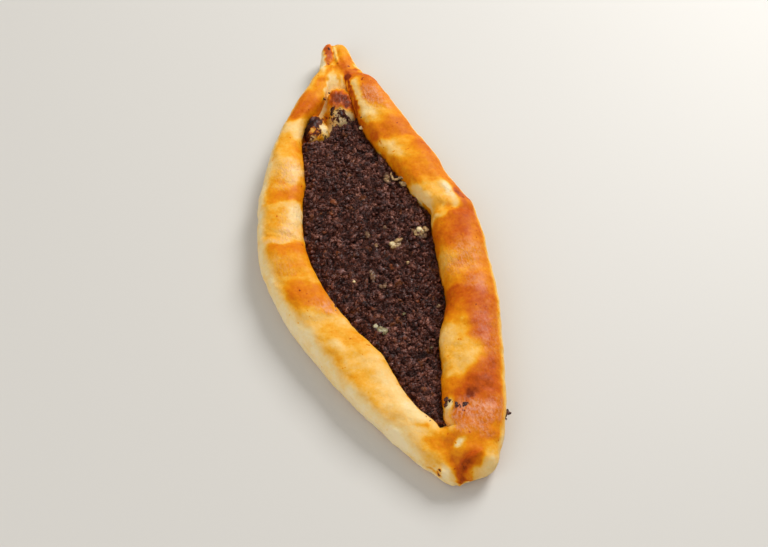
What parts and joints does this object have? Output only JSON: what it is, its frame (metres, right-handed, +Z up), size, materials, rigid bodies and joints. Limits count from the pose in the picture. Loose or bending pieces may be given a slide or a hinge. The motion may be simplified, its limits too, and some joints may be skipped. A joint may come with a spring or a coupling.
{
  "type": "turkish pide",
  "caption": "Boat-shaped flatbread with pointed tips and rolled, browned rims folded in over a bed of dark minced meat, for laying on a plate or board.",
  "frame": {"origin": "middle of the flat underside, on the table", "axes": "+Z up; +Y along the boat from its broad, lapped tip towards the narrow tip with two lobes; +X towards the rim that is creased at its widest place"},
  "size_m": [0.1248, 0.297, 0.0235],
  "materials": {
    "crust": "baked dough brushed with egg, cream to orange-brown, soft gloss",
    "mince": "dark cooked mince, rough and a little moist"
  },
  "bodies": {
    "root": {"crust": "crust", "mince": "mince"}
  },
  "joints": []
}
